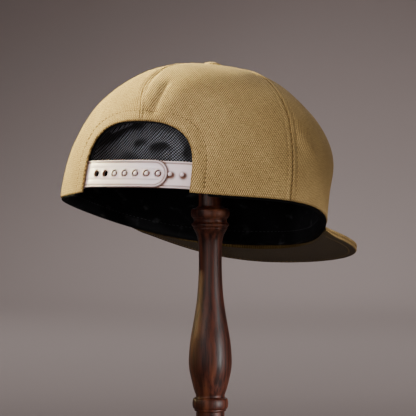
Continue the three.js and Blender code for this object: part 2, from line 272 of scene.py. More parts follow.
# groove and its width, swell beside it, step up on the side towards the front, stitch rows
SIDE_SHAPE = Sizes(groove=0.62, width=0.30, swell=0.14, step=0.30, row=4.1)
FRONT_SHAPE = Sizes(groove=0.5, width=0.32, swell=0.2, step=0.2, row=3.1)
SEAM_SHAPE = {
    "back": Sizes(groove=0.26, width=0.34, swell=0.16, step=0.0, row=2.15),
    "side_right": SIDE_SHAPE, "side_left": SIDE_SHAPE,
    "front_right": FRONT_SHAPE, "front_left": FRONT_SHAPE,
}
SWELL_WIDTH = 1.1
ROW_DIP = Sizes(depth=0.13, pucker=0.2, width=0.5)
ARCH_HEM = Sizes(row=6.7, dip=2.0, swell=0.45, middle=3.2, width=2.3)
FOLDS = (
    # start and end as angle and share of the height, width and depth in millimetres
    (174.6, 0.52, 173.8, 0.72, 2.6, -0.85), (173.0, 0.52, 172.0, 0.74, 6.0, -0.38),
    (180.6, 0.55, 180.4, 0.74, 3.4, 0.4), (238.0, 0.72, 238.0, 0.84, 13.0, -1.8),
    (104.0, 0.56, 99.0, 0.36, 7.0, 0.9), (110.0, 0.50, 106.0, 0.30, 4.5, -0.6),
    (184.5, 0.74, 186.5, 0.88, 2.6, -0.45), (105.6, 0.38, 100.2, 0.31, 2.6, -0.5),
    (103.6, 0.43, 98.0, 0.36, 3.6, 0.5), (101.0, 0.66, 102.5, 0.52, 5.0, -0.5),
    (151.5, 0.33, 149.6, 0.22, 3.0, -0.5), (146.0, 0.42, 141.0, 0.30, 6.0, 0.5),
    (228.0, 0.42, 222.0, 0.60, 5.0, 0.5), (236.0, 0.30, 231.0, 0.52, 4.0, -0.5),
)
WAVES = ((5, 3.0, 0.3, 0.16), (9, 5.0, 1.7, 0.12), (13, -8.0, 4.1, 0.08), (21, 11.0, 2.2, 0.05))


def row_dip(distance, along):
    """The dip of a stitch row, deeper where each stitch goes down into the cloth."""
    ends = 0.5 + 0.5 * np.cos(FULL * along / STITCH.pitch)
    return -(ROW_DIP.depth + ROW_DIP.pucker * ends) * bell(distance / ROW_DIP.width)


def seam_relief(angle, rise, ring):
    total = 0
    for name, shape in SEAM_SHAPE.items():
        across = wrapped(angle - SEAMS[name](rise)) * ring
        to_front = -across if name.endswith("right") else across
        distance = np.abs(across)
        raised = smooth(-0.1, 0.25, to_front) * (1 - smooth(0.6, shape.row, to_front))
        total = total + (
            -shape.groove * bell(distance / shape.width)
            + shape.swell * bell((distance - shape.row / 2) / SWELL_WIDTH) + shape.step * raised
            + row_dip(distance - shape.row, np.interp(rise, RISES, SEAM_LENGTH[name]))
        )
    return total


def folds_of(table, angle, share):
    """Height of soft ridges and furrows that run along short straight lines."""
    total = 0
    for from_angle, from_share, to_angle, to_share, width, depth in table:
        start = np.array([from_angle * RAD * CROWN.half, from_share * CROWN.height])
        axis = np.array([to_angle * RAD * CROWN.half, to_share * CROWN.height]) - start
        turn = wrapped(angle - from_angle * RAD) + from_angle * RAD
        x, y = turn * CROWN.half - start[0], share * CROWN.height - start[1]
        t = np.clip((x * axis[0] + y * axis[1]) / (axis @ axis), 0, 1)
        total = total + depth * bell(np.hypot(x - t * axis[0], y - t * axis[1]) / width)
    return total


def fold_relief(angle, share):
    waves = sum(
        depth * np.sin(lobes * angle + climb * share + phase)
        for lobes, climb, phase, depth in WAVES)
    return folds_of(FOLDS, angle, share) + waves * (1 - share ** 4)


def twill_surface(angle, rise):
    """The twill's outer face with its seams, stitch rows and folds: points and outward directions."""
    point, outward, ring = crown_patch(angle, rise)
    height = fold_relief(angle, share_of(angle, rise)) + seam_relief(angle, rise, ring)
    distance, along = arch_distance(point)
    swell = ARCH_HEM.swell * bell((distance - ARCH_HEM.middle) / ARCH_HEM.width)
    hem = swell + ARCH_HEM.dip * row_dip(distance - ARCH_HEM.row, along)
    return point + outward * (height + hem)[..., None], outward


# ---------------------------------------------------------------- making meshes
def in_scene(name, data):
    thing = bpy.data.objects.new(name, data)
    bpy.context.scene.collection.objects.link(thing)
    return thing


def bare_mesh(name, points, faces, material):
    mesh = bpy.data.meshes.new(name)
    mesh.from_pydata(points.tolist(), [], [list(map(int, f)) for f in faces])
    mesh.materials.append(material)
    return mesh


def make_mesh(
        name, points, faces, material, node=None, to_frame=cap_to_frame, cloth=None, edge=None):
    """A smooth piece from points in millimetres, in place of the frame's node where one is given.
    cloth is each point's place in the flat cloth in millimetres, with how shaded the cloth is as
    a third value where it has one, and edge is how much painted shade darkens it."""
    mesh = bare_mesh(name, to_frame(points), faces, material)
    if cloth is not None:
        flat = np.zeros((len(points), 3))
        flat[:, :cloth.shape[-1]] = cloth
        mesh.attributes.new("cloth", "FLOAT_VECTOR", "POINT").data.foreach_set("vector", flat.ravel())
    if edge is not None:
        mesh.attributes.new("edge", "FLOAT", "POINT").data.foreach_set("value", edge.ravel())
    mesh.validate()
    mesh.update()
    mesh.shade_smooth()
    piece = in_scene(name, mesh)
    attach(piece, "root")
    if node:
        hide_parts(node)


def grid_faces(rows, columns, start=0, wrap=False, flip=False):
    i, j = np.meshgrid(np.arange(rows - 1), np.arange(columns if wrap else columns - 1), indexing="ij")
    k = (j + 1) % columns
    corners = stack(i * columns + j, i * columns + k, (i + 1) * columns + k, (i + 1) * columns + j)
    faces = corners.reshape(-1, 4) + start
    return faces[:, ::-1] if flip else faces


def shell_faces(rows, columns, flip):
    """Faces of a closed shell of two grids, the outer one first."""
    count, last, right = rows * columns, (rows - 1) * columns, columns - 1
    i, j = np.arange(rows - 1) * columns, np.arange(columns - 1)
    a, b = join(
        stack(j, j + 1), stack(i + right, i + columns + right),
        stack(last + j + 1, last + j)[::-1], stack(i + columns, i)[::-1]).T
    sides = stack(b, a, a + count, b + count)
    return join(
        grid_faces(rows, columns, 0, flip=flip), grid_faces(rows, columns, count, flip=not flip),
        sides[:, ::-1] if flip else sides)


def spaced(length, step, dense_start=(), dense_end=(), count=None):
    """Positions from 0 to length, with set distances near the ends and even steps between."""
    start, end = list(dense_start) or [0.0], list(dense_end) or [0.0]
    room = length - start[-1] - end[-1]
    count = max(int(round(room / step)), 1) if count is None else count
    return join(start, start[-1] + room * np.arange(1, count) / count, length - np.array(end)[::-1])


SEAM_STEPS = (0.0, 0.25, 0.5, 0.8, 1.15, 1.6, 2.1, 2.6, 3.05, 3.4, 3.7, 4.0, 4.35, 4.9, 5.8, 7.0)
HEM_RADIUS = TWILL_THICK / 2
HEM_STEPS = tuple(HEM_RADIUS * (1 - math.cos(k * math.pi / 10)) for k in range(6)) + (1.2, 1.8)
PANEL_ROWS, BACK_ROWS = 130, 90
WEDGE_MIDDLE, BACK_MIDDLE = 15 * RAD, 33 * RAD


def hem_inset(distance, radius=HEM_RADIUS):
    """How far the face turns in near a folded edge."""
    short = np.clip(radius - distance, 0, radius)
    return radius - np.sqrt(radius ** 2 - short ** 2)


def cloth_place(angle, rise, middle):
    """Place in the flat cloth: to the right seen from outside, and up from the rim."""
    up = np.interp(rise, RISES, running_length(crown_point(middle, RISES)))
    return stack(-(angle - middle) * crown_patch(angle, rise)[2], up)


def twill_panel(name, node, angle, rise, middle, material, *, flip, has_arch=False):
    """A closed panel of twill from grids of angle and rise. Row 0 is its lower edge."""
    face, outward = twill_surface(angle, rise)
    base, _, ring = crown_patch(angle, rise)
    hem = np.maximum(base[..., 2] - crown_point(angle, RIM_RISE)[..., 2], 0)
    if has_arch:
        hem = np.minimum(hem, arch_distance(base)[0])
    turn_in = hem_inset(hem)
    under = fold_relief(angle, share_of(angle, rise)) - TWILL_THICK + turn_in
    seam = np.min([np.abs(wrapped(angle - line(rise))) * ring for line in SEAMS.values()], axis=0)
    back = np.abs(wrapped(angle - back_seam(rise))) * ring
    # painted shade: seams and the folded hem are darkened through the edge value
    edge = np.maximum(bell(seam / 0.5) * (1 - 0.75 * bell(back / 2)), 0.6 * bell(hem / 0.75))
    front = smooth(0.2, 0.5, np.cos(angle))
    cloth = cloth_place(angle, rise, middle)
    shaded = [np.dstack([cloth, shade]) for shade in ((1 - smooth(0.6, 1.4, hem)) * front, front)]
    make_mesh(
        name, both(face - outward * turn_in[..., None], base + outward * under[..., None]),
        shell_faces(*angle.shape, flip=flip), material, node,
        cloth=both(*shaded), edge=join(edge, edge))


def wedge_grid(from_seam, to_seam, across):
    """Angles and rises of a panel that runs from the rim to the button, and its middle."""
    start, end = from_seam(WEDGE_MIDDLE), to_seam(WEDGE_MIDDLE)
    middle = float((start + end) / 2)
    width = float((end - start) * crown_patch(middle, 0.02)[2])
    angles, rises = [], []
    for t in spaced(width, width / across, SEAM_STEPS, SEAM_STEPS) / width:
        angle = mix(from_seam(RISES), to_seam(RISES), t)
        length = running_length(crown_point(angle, RISES))
        rises.append(np.interp(spaced(length[-1], 1.0, HEM_STEPS, count=PANEL_ROWS), length, RISES))
        angles.append(np.interp(rises[-1], RISES, angle))
    return np.array(angles).T, np.array(rises).T, middle


def petal(middle):
    """Functions that lay the crown flat about a meridian and that take it back."""
    rises = np.linspace(RIM_RISE, TOP_RISE, 600)
    point, _, ring = crown_patch(middle, rises)
    up = running_length(point)

    def flatten(angle, rise):
        return stack((angle - middle) * np.interp(rise, rises, ring), np.interp(rise, rises, up))

    def unflatten(flat):
        rise = np.interp(flat[..., 1], up, rises)
        return stack(middle + flat[..., 0] / np.interp(rise, rises, ring), rise)

    return flatten, unflatten


def back_grid(side, along_count, across_count, margin=0.0, dense=True):
    """Angles and rises of a back panel: rows leave the arch's edge and end on the side seam, the
    first along the rim and the last along the back seam. side is -1 on the wearer's right."""
    seam = SEAMS["side_right" if side < 0 else "side_left"]
    middle = math.pi + side * BACK_MIDDLE
    flatten, unflatten = petal(middle)
    line = stack(*locate(*arch_outline(margin, steps=400)))[::-side]
    offset = (line[:, 0] - back_seam(line[:, 1])) * side
    last = int(np.argmax(offset < 0))
    stop = offset[last - 1] / (offset[last - 1] - offset[last])
    line = join(line[:last], mix(line[last - 1:last], line[last:last + 1], stop))
    under_button = np.linspace(seam(TOP_RISE), back_seam(TOP_RISE), 30)[1:]
    seam_line = (
        join(seam(RISES), under_button),
        join(np.maximum(RISES, RIM_RISE), np.full(len(under_button), TOP_RISE)))
    rim_steps, seam_steps = (HEM_STEPS, SEAM_STEPS) if dense else ((), ())
    shares, sides = [], []
    for curve in (flatten(*line.T), flatten(*seam_line)):
        at = spaced(running_length(curve)[-1], 1, rim_steps, seam_steps, count=along_count)
        shares.append(at / at[-1])
        sides.append(resample(curve, shares[-1])[:, None])
    s, d = sum(shares)[:, None, None] / 2, np.linspace(0, 1, 160)
    top_rise = np.linspace(line[-1, 1], TOP_RISE, 200)
    low = resample(flatten(np.linspace(line[0, 0], seam(0.0), 200), RIM_RISE), d)
    high = resample(flatten(back_seam(top_rise), top_rise), d)
    d = d[:, None]
    corners = mix(mix(low[0], low[-1], d), mix(high[0], high[-1], d), s)
    rows = []
    for row in mix(*sides, d) + mix(low, high, s) - corners:
        line = unflatten(row)
        length = running_length(crown_point(*line.T))
        at = spaced(length[-1], 1, rim_steps, seam_steps, count=across_count)
        rows.append(read_at(at, length, line))
    return *np.array(rows).transpose(2, 0, 1), middle


# ---------------------------------------------------------------- material graphs
class Wire:
    """An output in a material's graph, with arithmetic."""

    def __init__(self, graph, socket):
        self.graph, self.socket = graph, socket

    def math(self, operation, *others):
        node = self.graph.add("ShaderNodeMath", operation=operation)
        for socket, value in zip(node.inputs, (self,) + others):
            self.graph.plug(socket, value)
        return Wire(self.graph, node.outputs[0])

    def __add__(self, other):
        return self.math("ADD", other)

    def __sub__(self, other):
        return self.math("SUBTRACT", other)

    def __mul__(self, other):
        return self.math("MULTIPLY", other)

    __radd__, __rmul__ = __add__, __mul__

    def __rsub__(self, other):
        return self * -1.0 + other

    def wave(self):
        """0 to 1 and back once in each whole number."""
        return (self * FULL).math("COSINE") * 0.5 + 0.5

    def step(self, low, high):
        node = self.graph.add("ShaderNodeMapRange", interpolation_type="SMOOTHSTEP")
        for socket, value in (("Value", self), ("From Min", low), ("From Max", high)):
            self.graph.plug(node.inputs[socket], value)
        return Wire(self.graph, node.outputs["Result"])


class Graph:
    """A material with a Principled shader, and the nodes that feed it."""

    def __init__(self, name, **values):
        self.material = bpy.data.materials.new(name)
        self.material.use_nodes = True
        self.tree = self.material.node_tree
        self.shader = self.tree.nodes["Principled BSDF"]
        for socket, value in values.items():
            self.shader.inputs[socket.replace("_", " ")].default_value = value

    def add(self, kind, **settings):
        node = self.tree.nodes.new(kind)
        for key, value in settings.items():
            setattr(node, key, value)
        return node

    def plug(self, socket, value):
        if isinstance(value, Wire):
            self.tree.links.new(value.socket, socket)
        else:
            socket.default_value = value

    def split(self, socket):
        node = self.add("ShaderNodeSeparateXYZ")
        self.tree.links.new(socket, node.inputs[0])
        return [Wire(self, output) for output in node.outputs]

    def cloth(self):
        """Across and up in the flat cloth, in millimetres, and how shaded the cloth is."""
        return self.split(self.add("ShaderNodeAttribute", attribute_name="cloth").outputs["Vector"])

    def edge(self):
        return Wire(self, self.add("ShaderNodeAttribute", attribute_name="edge").outputs["Fac"])

    def place(self):
        return self.split(self.add("ShaderNodeTexCoord").outputs["Object"])

    def noise(self, x, y, z=0.0, *, detail, scale=1.0, rough=0.5):
        joined, node = self.add("ShaderNodeCombineXYZ"), self.add("ShaderNodeTexNoise")
        for socket, value in zip(joined.inputs, (x, y, z)):
            self.plug(socket, value)
        self.tree.links.new(joined.outputs[0], node.inputs["Vector"])
        for socket, value in (("Scale", scale), ("Detail", detail), ("Roughness", rough)):
            node.inputs[socket].default_value = value
        return Wire(self, node.outputs["Fac"])

    def blend(self, share, low, high):
        node = self.add("ShaderNodeMix", data_type="RGBA")
        self.plug(node.inputs[0], share)
        for socket, value in ((node.inputs[6], low), (node.inputs[7], high)):
            self.plug(socket, value if isinstance(value, Wire) else (*value, 1.0))
        return Wire(self, node.outputs[2])

    def finish(self, colour, roughness=None, bump=None, depth=0.1):
        """Joins colour, roughness and a bump of a depth in millimetres to the shader."""
        self.plug(self.shader.inputs["Base Color"], colour)
        if roughness is not None:
            self.plug(self.shader.inputs["Roughness"], roughness)
        if bump is not None:
            node = self.add("ShaderNodeBump")
            for socket, value in (("Strength", 1.0), ("Distance", depth * MM), ("Height", bump)):
                self.plug(node.inputs[socket], value)
            self.tree.links.new(node.outputs["Normal"], self.shader.inputs["Normal"])
        return self.material


TWILL_RIB = Sizes(across=1.37, up=2.76)


def twill_material(name, contrast):
    """Khaki cotton twill: steep ribs broken into floats, uneven dye, and painted shade in seams and hems.
    """
    g = Graph(name, Roughness=0.9, Specular_IOR_Level=0.1, Sheen_Weight=0.04, Sheen_Roughness=0.4)
    u, v, shade = g.cloth()
    drift = (g.noise(u, v, scale=0.16, detail=2) - 0.5) * 0.5
    rib = u * (1 / TWILL_RIB.across) - v * (1 / TWILL_RIB.up) + drift
    floats = u * (1 / TWILL_RIB.across) + v * (1 / TWILL_RIB.up) + drift
    height = rib.wave().math("POWER", 0.8) * (floats.wave() * 0.66 + 0.34)
    thread = g.noise(u * 3.1 - v * 1.5, u * 0.9 + v * 1.8, scale=0.5, detail=3)
    slub = g.noise(u * 0.5, v * 2.4, scale=0.5, detail=3)
    mottle = g.noise(u, v, scale=0.03, detail=5, rough=0.62).step(0.3, 0.7)
    low = g.blend(mottle, (0.096, 0.056, 0.018), (0.120, 0.073, 0.023))
    high = g.blend(mottle, (0.625, 0.417, 0.168), (0.78, 0.54, 0.227))
    # colour follows the ribs' height: partly the weave's own pattern, partly painted shade between the
    # ribs
    share = (height * 1.05 + thread * 0.85 + slub * 0.6 - 0.6).step(0.0, 1.0)
    colour = g.blend(share * contrast + 0.45 * (1 - contrast), low, high)
    # painted shade in seams, along hems and in the brim's edge groove
    colour = g.blend(g.edge() * 0.8, colour, (0.105, 0.056, 0.017))
    colour = g.blend(shade * 0.93, colour, (0.029, 0.0150, 0.0012))
    return g.finish(colour, bump=height + thread * 0.3, depth=0.16 * contrast)


def stage_material():
    g = Graph("pale_stage", Roughness=0.9, Specular_IOR_Level=0.2)
    cloud = g.noise(*g.place(), scale=0.6, detail=3)
    return g.finish(g.blend(cloud, (0.50, 0.425, 0.41), (0.54, 0.46, 0.445)))


# ---------------------------------------------------------------- the crown
twill = twill_material("khaki_twill", 1.0)
side_twill = twill_material("khaki_twill_side", 0.62)
for name, from_seam, to_seam, across, cloth in (
    ("front", "front_left", "front_right", 90, twill),
    ("side_right", "front_right", "side_right", 60, side_twill),
    ("side_left", "side_left", "front_left_round", 60, side_twill),
):
    grid = wedge_grid(SEAMS[from_seam], SEAMS[to_seam], across)
    twill_panel("panel_" + name, "crown_" + name, *grid, cloth, flip=True)
for name, side in (("back_right", -1), ("back_left", 1)):
    grid = back_grid(side, BACK_ROWS, BACK_ROWS)
    twill_panel("panel_" + name, "crown_" + name, *grid, twill, has_arch=True, flip=side > 0)


# ---------------------------------------------------------------- topstitching
STITCH_ALONG = np.array([-1.0, -0.82, -0.4, 0.0, 0.4, 0.82, 1.0])
STITCH_THICK = np.array([0.0, 0.72, 1.0, 1.0, 1.0, 0.72, 0.0])[:, None] * STITCH.radius
STITCH_SIDES = 6
ROW_START, ROW_END = 0.01, 84 * RAD


def stitch_mesh(name, runs, material):
    """Threads along runs of points: each stitch rises out of the cloth and goes back into it."""
    lift = STITCH.radius * (0.35 - 1.6 * STITCH_ALONG ** 4)[:, None]
    turn = turns(STITCH_SIDES)
    points, faces, flat, start = [], [], [], 0
    for run, outward in runs:
        length = running_length(run)
        count = int(length[-1] / STITCH.pitch)
        middle = (np.arange(count) + 0.5) * STITCH.pitch
        at = middle[:, None] + STITCH_ALONG * STITCH.length / 2
        spine, up = read_at(at, length, run), unit(read_at(at, length, outward))
        side = unit(np.cross(up, unit(np.gradient(spine, axis=1))))
        ring = (
            (spine + up * lift)[:, :, None]
            + side[:, :, None] * (STITCH_THICK * np.cos(turn))[..., None]
            + up[:, :, None] * (STITCH_THICK * 0.8 * np.sin(turn))[..., None]
        )
        rows = grid_faces(len(STITCH_ALONG), STITCH_SIDES, wrap=True)
        offsets = start + np.arange(count) * len(STITCH_ALONG) * STITCH_SIDES
        faces.append((rows + offsets[:, None, None]).reshape(-1, 4))
        points.append(ring.reshape(-1, 3))
        flat.append(stack(at[:, :, None], turn).reshape(-1, 2))
        start += len(points[-1])
    make_mesh(name, join(*points), join(*faces), material, cloth=join(*flat))


def thread_material(name, colour):
    g = Graph(name, Roughness=0.8, Specular_IOR_Level=0.25)
    along, turn, _ = g.cloth()
    ply = (along * 1.6 + turn * (1 / FULL)).wave()
    return g.finish(g.blend(ply, tuple(c * 0.6 for c in colour), colour), bump=ply, depth=0.06)


def seam_runs():
    """Lines of stitches on both sides of each seam."""
    runs = []
    for name, seam in list(SEAMS.items())[:-1]:
        over_arch = locate(np.zeros(1), np.array([ARCH.top + 0.8]))[1][0]
        rise = np.linspace(over_arch if name == "back" else ROW_START, ROW_END, 500)
        aside = SEAM_SHAPE[name].row / crown_patch(seam(rise), rise)[2]
        runs += [twill_surface(seam(rise) + side * aside, rise) for side in (-1, 1)]
    return runs


def arch_run():
    angle, rise = locate(*arch_outline(ARCH_HEM.row, steps=700))
    keep = rise > 0.012
    return twill_surface(angle[keep], rise[keep])


twill_thread = thread_material("twill_thread", (0.30, 0.185, 0.07))
# painted shade: the arch's thread is much darker than the twill's, for stitches sunk into the cloth
arch_thread = thread_material("arch_thread", (0.12, 0.065, 0.022))
stitch_mesh("seam_topstitch", seam_runs(), twill_thread)
stitch_mesh("arch_topstitch", [arch_run()], arch_thread)


# ---------------------------------------------------------------- inside of the cap
LINING_FOLDS = (
    # start and end as angle and share of the height, width and height in millimetres
    (-63.0, 0.57, -56.5, 0.665, 3.0, 2.0), (-56.0, 0.672, -49.0, 0.672, 2.8, 2.4),
    (-49.0, 0.672, -43.0, 0.62, 2.8, 2.0), (-77.0, 0.49, -73.0, 0.62, 6.0, 2.2),
    (-73.0, 0.62, -64.0, 0.66, 4.2, 1.2), (-66.5, 0.585, -63.0, 0.60, 3.4, -1.8),
    (-58.0, 0.60, -52.0, 0.62, 4.0, -1.9), (-72.0, 0.55, -60.0, 0.53, 3.4, 1.5),
    (-50.0, 0.57, -42.0, 0.56, 3.0, 1.5), (-40.0, 0.60, -34.0, 0.66, 4.0, -1.2),
    (-88.0, 0.52, -70.0, 0.705, 4.2, -2.2), (-83.5, 0.60, -75.0, 0.705, 1.3, 3.2),
    (-20.0, 0.45, 10.0, 0.60, 4.0, 2.2), (20.0, 0.62, 36.0, 0.40, 4.0, 2.0),
    (60.0, 0.35, 66.0, 0.66, 5.0, 2.2), (80.0, 0.60, 96.0, 0.44, 5.0, 1.8),
    (-100.0, 0.40, -92.0, 0.66, 5.0, 2.0), (-30.0, 0.30, -50.0, 0.44, 4.0, 1.8),
)
LINING_FOOT, LINING_MARGIN = 0.4 * RAD, 8.6
LINING_GRID = Sizes(columns=240, rows=100, back=(50, 46))
MESH_PITCH = 1.45
FOLD_SHARE, DEEPEST_FOLD = 0.4, -0.35


def lining_relief(angle, share):
    total = 0.3 * np.sin(9 * angle + 7 * share) + 0.2 * np.sin(17 * angle - 15 * share + 1.0)
    total = total + folds_of(LINING_FOLDS, angle, share)
    return total * smooth(0.0, 0.2, share) * (1 - smooth(0.9, 1.0, share))


def lining_material():
    """Black open mesh: grey threads crossing on the diagonal over dark holes; painted light on its folds.
    """
    g = Graph("lining_mesh", Roughness=0.5, Specular_IOR_Level=0.45)
    u, v, fold = g.cloth()
    one, other = (u * 0.8 + v) * (0.7 / MESH_PITCH), (u * 0.8 - v) * (0.7 / MESH_PITCH)
    knots = one.wave() * other.wave()
    uneven = g.noise(u, v, scale=0.12, detail=3)
    # painted light: brighter on the folds' ridges and darker in their hollows
    wear_and_painted_light = fold.step(-1.3, 1.8) * 1.3 + 0.12
    share = knots.step(0.1, 0.4) * (uneven * 0.5 + 0.6) * wear_and_painted_light
    return g.finish(g.blend(share, (0.002, 0.002, 0.003), (0.80, 0.85, 1.0)), bump=knots, depth=0.2)


def band_material(name, colour, rib):
    """Black cotton tape: fine ribs across it, with dusty high spots and a soft sheen."""
    g = Graph(name, Roughness=0.8, Specular_IOR_Level=0.05)
    u, v, _ = g.cloth()
    ribs = (u * (1 / rib) + v * (0.35 / rib)).wave()
    dust = g.noise(u, v, scale=0.2, detail=4)
    wear_and_painted_light = g.noise(u * 0.8, v * 2.0, scale=0.09, detail=3).step(0.56, 0.78)
    cloth = g.blend(ribs * 0.5 + dust * 0.4, colour, tuple(c * 2.2 for c in colour))
    return g.finish(g.blend(wear_and_painted_light * 0.5, cloth, (0.06, 0.06, 0.065)), bump=ribs, depth=0.1)


def round_front(columns, rises, reach):
    """Angles and rises of a layer that runs round the front from side to side."""
    share = np.linspace(-1, 1, columns)
    return (reach + 0 * rises)[:, None] * share, rises[:, None] + 0 * share


def make_lining():
    """The lining: closed shells round the front and at the back, joined into one piece. It
    follows the twill where that is pressed in, so that it stays behind it."""
    rises = np.linspace(LINING_FOOT, TOP_RISE, LINING_GRID.rows)
    front = round_front(LINING_GRID.columns, rises, SIDE_SEAM * RAD)
    grids = [(*front, 0.0, True)]
    for side in (-1, 1):
        back = back_grid(side, *LINING_GRID.back, margin=LINING_MARGIN, dense=False)
        grids.append((*back, side > 0))
    points, faces, flat = [], [], []
    for angle, rise, middle, flip in grids:
        rise = np.maximum(rise, LINING_FOOT)
        share = share_of(angle, rise)
        fold = lining_relief(angle, share)[..., None]
        dent = np.minimum(fold_relief(np.mod(angle, FULL), share), 0)[..., None]
        base, outward, _ = crown_patch(angle, rise, LINING[0])
        lift = outward * (np.maximum(FOLD_SHARE * fold, DEEPEST_FOLD) - dent)
        faces.append(shell_faces(*angle.shape, flip=flip) + sum(map(len, points)))
        points.append(both(base - lift, crown_point(angle, rise, LINING[1]) - lift))
        # the fold height goes along with the cloth, for the painted light on the lining's folds
        cloth = np.dstack([cloth_place(angle, rise, middle), fold])
        flat.append(both(cloth, cloth))
    make_mesh(
        "lining", join(*points), join(*faces), lining_material(), "crown_lining",
        cloth=join(*flat))


def band_relief(angle, share):
    """Wrinkles of the sweatband, strongest near its ends beside the opening."""
    ends = smooth(95 * RAD, 150 * RAD, np.abs(angle))
    waves = np.sin(23 * angle + 40 * share) * 0.35 + np.sin(41 * angle - 55 * share + 2.0) * 0.25
    return waves * (0.35 + 1.1 * ends) * smooth(0.02, 0.12, share)


BAND_ROLL = (
    # outer face's inset and height over the rim, then the inner face's: it wraps under the hem
    (0.45, -0.55, 0.45, -0.75), (0.6, -0.25, 0.6, -0.95), (1.0, -0.15, 1.1, -1.05),
    (1.9, -0.15, 2.2, -1.05), (2.8, -0.1, 3.5, -1.0), (3.15, 0.25, 4.35, -0.5),
    (3.3, 0.9, 4.8, 0.6),
)
BAND_RISES = np.linspace(0.5 * RAD, 15 * RAD, 26)
BAND_END = ARCH.half + 9.3
BAND_FOOT = FULL - arch_side_angle(BAND_END)
BAND_REACH = np.array([
    FULL - locate(np.array([BAND_END]), crown_point(2.6, rise)[2:3])[0][0] for rise in BAND_RISES
])
BAND_COLUMNS = 420
BAND_LENGTH = 250
BAND_STITCHES = (1.6 * RAD, 14.2 * RAD)


def make_band():
    """The black sweatband: a band inside the crown whose lower edge rolls out under the twill."""
    share = np.linspace(-1, 1, BAND_COLUMNS)
    angle, rise = round_front(BAND_COLUMNS, BAND_RISES, BAND_REACH)
    lift = band_relief(angle, share_of(angle, rise))[..., None]
    faces = []
    for side in (0, 1):
        rolled = [
            crown_point(BAND_FOOT * share, LOWEST_RISE, row[2 * side]) + [0, 0, row[2 * side + 1]]
            for row in BAND_ROLL
        ]
        base, outward, _ = crown_patch(angle, rise, BAND[side])
        faces.append(join(rolled, base - outward * lift))
    up = join(np.linspace(-6, 0, len(BAND_ROLL)), np.linspace(0.5, 24, len(BAND_RISES)))
    flat = stack(share * BAND_LENGTH, up[:, None])
    make_mesh(
        "sweatband_cloth", both(*faces), shell_faces(*flat.shape[:2], flip=True),
        band_material("band_cloth", (0.0022, 0.0022, 0.0025), 0.9), "sweatband",
        cloth=both(flat, flat))


def band_stitch_run(rise):
    angle = np.linspace(-BAND_REACH.min(), BAND_REACH.min(), 900)
    base, outward, _ = crown_patch(angle, rise, BAND[1])
    return base - outward * band_relief(angle, share_of(angle, rise))[:, None], -outward


TAPE_ROWS = np.array([0.35, 0.5, 0.9, 1.8, 3.2, 4.8, 6.4, 7.7, 8.5, 8.9, 9.0])
TAPE_COLUMNS = 200
TAPE_LOWEST = 19.7


def make_binding():
    """Black tape round the inside of the arch: a low rounded strip that follows its edge."""
    fullness = np.sqrt(np.clip(1 - ((TAPE_ROWS - 4.7) / 4.35) ** 2, 0, 1)) ** 0.5
    ripple = 0.12 * np.sin(np.linspace(0, 60, TAPE_COLUMNS))[:, None]
    outer, inner, flat = [], [], []
    for margin, full in zip(TAPE_ROWS, fullness):
        line = arch_outline(margin, steps=260, low=0.0).T
        keep = np.nonzero(line[:, 1] > TAPE_LOWEST)[0]
        line = read_at(np.linspace(keep[0], keep[-1], TAPE_COLUMNS), np.arange(260), line)
        base, outward, _ = crown_patch(*locate(*line.T))
        outer.append(base - outward * (BAND[0] + 0.1))
        inner.append(base - outward * (BAND[0] + 0.25 + (BAND[1] - BAND[0] - 0.2) * full + ripple * full))
        flat.append(stack(np.linspace(0, 120, TAPE_COLUMNS), margin))
    make_mesh(
        "arch_tape", both(outer, inner), shell_faces(len(TAPE_ROWS), TAPE_COLUMNS, flip=True),
        band_material("arch_tape", (0.008, 0.008, 0.009), 0.7), "arch_binding",
        cloth=both(flat, flat))


make_lining()
make_band()
stitch_mesh(
    "sweatband_topstitch", [band_stitch_run(rise) for rise in BAND_STITCHES],
    thread_material("band_thread", (0.016, 0.016, 0.018)))
make_binding()


# ---------------------------------------------------------------- the brim
BRIM_ROLL = 1.075
BRIM_COLUMNS, FINE_COLUMNS, SMOOTHING = 300, 600, 41
BRIM_ROWS = [5.0 + 7.0 * k for k in range(7)]
BRIM_STEPS = np.array([0, 0.05, 0.15, 0.3, 0.5, 0.75, 1.1, 1.6, 2.4, 3.4, 4.3, 4.7, 5.0, 5.3, 5.7, 6.6])


def brim_share(ahead):
    return (ahead - BRIM.start) / BRIM.reach


def brim_top(plan):
    """Height of the brim's upper face: a slight arch and twist."""
    aside, share = plan[..., 0] / BRIM.half, brim_share(plan[..., 1])
    warp = BRIM_TOP.arch * aside ** 2 + BRIM_TOP.twist * aside * (share ** 2 - BRIM_TOP.level)
    return BRIM_TOP.start - BRIM_TOP.fall * (plan[..., 1] - BRIM.start) + warp


def brim_edge(count):
    """Plan of the brim's free edge from the crown on the wearer's left to the crown on the right,
    as right and ahead, with the directions inwards and the share of the way."""
    turn = np.linspace(-BRIM_TRIM, BRIM_TRIM, 500) * RAD
    ahead = BRIM.start + BRIM.reach * np.cos(turn) ** (2 / BRIM.front)
    right = BRIM.half * signed_power(np.sin(turn), 2 / BRIM.side) + BRIM.drift * brim_share(ahead)
    feet = -crown_point(np.array([-1.0, 1.0]) * BRIM_SIDE * RAD, 0.0, -0.2)[:, :2]
    line = resample(join(feet[:1], stack(right, ahead), feet[1:]), np.linspace(0, 1, 900))
    window, pad = np.hanning(SMOOTHING), SMOOTHING // 2
    padded = join(np.repeat(line[:1], pad, 0), line, np.repeat(line[-1:], pad, 0))
    soft = stack(*(np.convolve(column, window / window.sum(), "valid") for column in padded.T))
    even = running_length(line)
    line = mix(line, soft, smooth(0, 12, np.minimum(even, even[-1] - even))[:, None])
    length = running_length(line)
    at = spaced(length[-1], length[-1] / count)
    line = read_at(at, length, line)
    along = unit(np.gradient(line, axis=0))
    return line, stack(along[:, 1], -along[:, 0]), at / at[-1]


